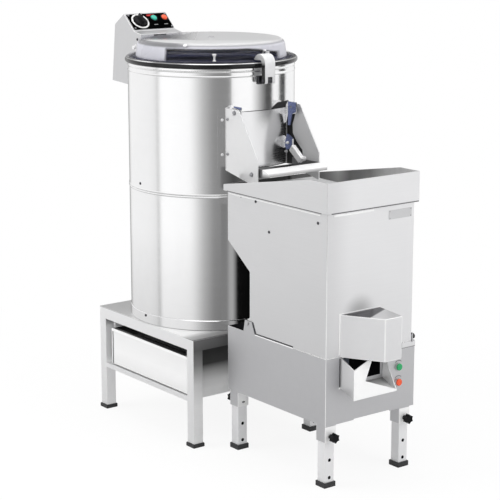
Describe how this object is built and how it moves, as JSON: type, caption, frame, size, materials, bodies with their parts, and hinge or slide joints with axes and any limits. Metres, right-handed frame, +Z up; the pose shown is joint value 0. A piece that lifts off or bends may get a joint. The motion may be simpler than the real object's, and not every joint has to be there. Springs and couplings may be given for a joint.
{
  "type": "electric potato peeler",
  "caption": "Drum potato peeler on a filter drawer stand with hinged clear lid, discharge door and timer console, with a chip cutter on telescopic legs under its outlet.",
  "frame": {"origin": "middle of the footprint of peeler and cutter, on the floor", "axes": "+X from the drum to the chip cutter, +Y across the front of the cutter, +Z up"},
  "size_m": [1.262, 0.5126, 1.2134],
  "materials": {
    "polished_steel": "polished stainless steel",
    "satin_steel": "satin stainless steel",
    "polished_rim": "mirror polished",
    "dark_liner": "rough grit",
    "grit_disc": "cast, coated with abrasive grit",
    "motor_grey": "painted casting",
    "cast_grey": "bead blasted casting",
    "belt_rubber": "matt",
    "black_plastic": "moulded, matt",
    "clear_lid": "clear moulded, frosted on top",
    "white_plastic": "printed",
    "green_plastic": "moulded",
    "red_plastic": "moulded"
  },
  "bodies": {
    "frame": {"stand_frame": "polished_steel", "stand_top": "polished_steel", "stand_foot_front_left": "black_plastic", "stand_foot_front_right": "black_plastic", "stand_foot_rear_right": "black_plastic", "stand_foot_rear_left": "black_plastic", "drawer_bay": "satin_steel", "base_ring": "polished_steel", "drum_lower": "polished_steel", "drum_upper": "polished_steel", "rim_ring": "polished_rim", "abrasive_liner": "dark_liner", "drain_pan": "satin_steel", "bearing_housing": "cast_grey", "motor": "motor_grey", "motor_bridge": "satin_steel", "drive_belt": "belt_rubber", "lid_hinge_rod": "satin_steel", "hook_bracket": "satin_steel", "console_housing": "satin_steel", "control_panel": "black_plastic", "dial_ring": "white_plastic", "outlet_plate_left": "satin_steel", "outlet_plate_right": "satin_steel", "outlet_tray": "polished_steel", "cutter_base": "satin_steel", "cutter_body": "satin_steel", "hopper": "satin_steel", "rotor_duct": "satin_steel", "knife_grid": "satin_steel", "gear_motor": "motor_grey", "spout_hood": "polished_steel", "spout_scoop": "polished_steel"},
    "drawer": {"filter_drawer": "polished_steel", "filter_strainer": "satin_steel"},
    "disc": {"peeling_disc": "grit_disc", "main_shaft": "satin_steel", "driven_pulley": "motor_grey"},
    "small_pulley": {"motor_pulley": "motor_grey"},
    "lid": {"lid_dome": "clear_lid", "lid_strap_left": "satin_steel", "lid_strap_right": "satin_steel"},
    "hook": {"lid_hook": "cast_grey"},
    "knob": {"timer_knob": "black_plastic"},
    "start": {"start_button": "green_plastic"},
    "stop": {"stop_button": "red_plastic"},
    "door": {"outlet_door": "polished_steel"},
    "lever": {"door_lever": "polished_steel"},
    "rotor": {"cutter_rotor": "cast_grey"},
    "leg_front_left": {"cutter_leg_front_left": "satin_steel"},
    "leg_front_right": {"cutter_leg_front_right": "satin_steel"},
    "leg_rear_right": {"cutter_leg_rear_right": "satin_steel"},
    "leg_rear_left": {"cutter_leg_rear_left": "satin_steel"},
    "star_front_left": {"star_knob_front_left": "black_plastic"},
    "star_front_right": {"star_knob_front_right": "black_plastic"},
    "star_rear_right": {"star_knob_rear_right": "black_plastic"},
    "star_rear_left": {"star_knob_rear_left": "black_plastic"},
    "latch": {"body_latch_knob": "black_plastic"},
    "cutter_start": {"cutter_start_button": "green_plastic"},
    "cutter_stop": {"cutter_stop_button": "red_plastic"}
  },
  "joints": [
    {"name": "drawer_slide", "type": "slide", "parent": "frame", "child": "drawer", "axis": [0, -1, 0], "range_m": [0, 0.38]},
    {"name": "disc_spin", "type": "hinge", "parent": "frame", "child": "disc", "pos_m": [-0.207, 0, 0.786], "axis": [0, 0, 1], "continuous": true},
    {"name": "motor_pulley_spin", "type": "hinge", "parent": "frame", "child": "small_pulley", "pos_m": [-0.207, 0.16, 0.638], "axis": [0, 0, 1], "continuous": true},
    {"name": "lid_hinge", "type": "hinge", "parent": "frame", "child": "lid", "pos_m": [-0.459, 0, 1.116], "axis": [0, -1, 0], "range_deg": [0, 66]},
    {"name": "hook_pivot", "type": "hinge", "parent": "frame", "child": "hook", "pos_m": [0.0695, 0, 1.056], "axis": [0, 1, 0], "range_deg": [0, 100]},
    {"name": "timer_turn", "type": "hinge", "parent": "frame", "child": "knob", "pos_m": [-0.5313, -0.037, 1.1857], "axis": [-0.6704, 0, -0.742], "range_deg": [0, 300]},
    {"name": "start_press", "type": "slide", "parent": "frame", "child": "start", "axis": [-0.6704, 0, -0.742], "range_m": [0, 0.003], "stiffness_N_per_m": 500},
    {"name": "stop_press", "type": "slide", "parent": "frame", "child": "stop", "axis": [-0.6704, 0, -0.742], "range_m": [0, 0.003], "stiffness_N_per_m": 500},
    {"name": "door_hinge", "type": "hinge", "parent": "frame", "child": "door", "pos_m": [0.05, 0, 0.971], "axis": [0, -1, 0], "range_deg": [0, 75]},
    {"name": "lever_pivot", "type": "hinge", "parent": "door", "child": "lever", "pos_m": [0.055, 0.0865, 0.868], "axis": [0, -1, 0], "range_deg": [0, 45]},
    {"name": "rotor_spin", "type": "hinge", "parent": "frame", "child": "rotor", "pos_m": [0.353, 0, 0.52], "axis": [0, 1, 0], "continuous": true},
    {"name": "leg_front_left_slide", "type": "slide", "parent": "frame", "child": "leg_front_left", "axis": [0, 0, 1], "range_m": [-0.05, 0.09]},
    {"name": "leg_front_right_slide", "type": "slide", "parent": "frame", "child": "leg_front_right", "axis": [0, 0, 1], "range_m": [-0.05, 0.09]},
    {"name": "leg_rear_right_slide", "type": "slide", "parent": "frame", "child": "leg_rear_right", "axis": [0, 0, 1], "range_m": [-0.05, 0.09]},
    {"name": "leg_rear_left_slide", "type": "slide", "parent": "frame", "child": "leg_rear_left", "axis": [0, 0, 1], "range_m": [-0.05, 0.09]},
    {"name": "star_front_left_turn", "type": "hinge", "parent": "frame", "child": "star_front_left", "pos_m": [0.52, -0.138, 0.145], "axis": [1, 0, 0], "range_deg": [0, 360]},
    {"name": "star_front_right_turn", "type": "hinge", "parent": "frame", "child": "star_front_right", "pos_m": [0.52, 0.131, 0.145], "axis": [1, 0, 0], "range_deg": [0, 360]},
    {"name": "star_rear_right_turn", "type": "hinge", "parent": "frame", "child": "star_rear_right", "pos_m": [0.09, 0.131, 0.145], "axis": [-1, 0, 0], "range_deg": [0, 360]},
    {"name": "star_rear_left_turn", "type": "hinge", "parent": "frame", "child": "star_rear_left", "pos_m": [0.09, -0.138, 0.145], "axis": [-1, 0, 0], "range_deg": [0, 360]},
    {"name": "latch_turn", "type": "hinge", "parent": "frame", "child": "latch", "pos_m": [0.515, 0.16, 0.375], "axis": [0, 1, 0], "range_deg": [0, 360]},
    {"name": "cutter_start_press", "type": "slide", "parent": "frame", "child": "cutter_start", "axis": [-1, 0, 0], "range_m": [0, 0.003], "stiffness_N_per_m": 500},
    {"name": "cutter_stop_press", "type": "slide", "parent": "frame", "child": "cutter_stop", "axis": [-1, 0, 0], "range_m": [0, 0.003], "stiffness_N_per_m": 500}
  ],
  "couplings": [
    {"joint": "motor_pulley_spin", "follows": "disc_spin", "ratio": 2.85}
  ]
}
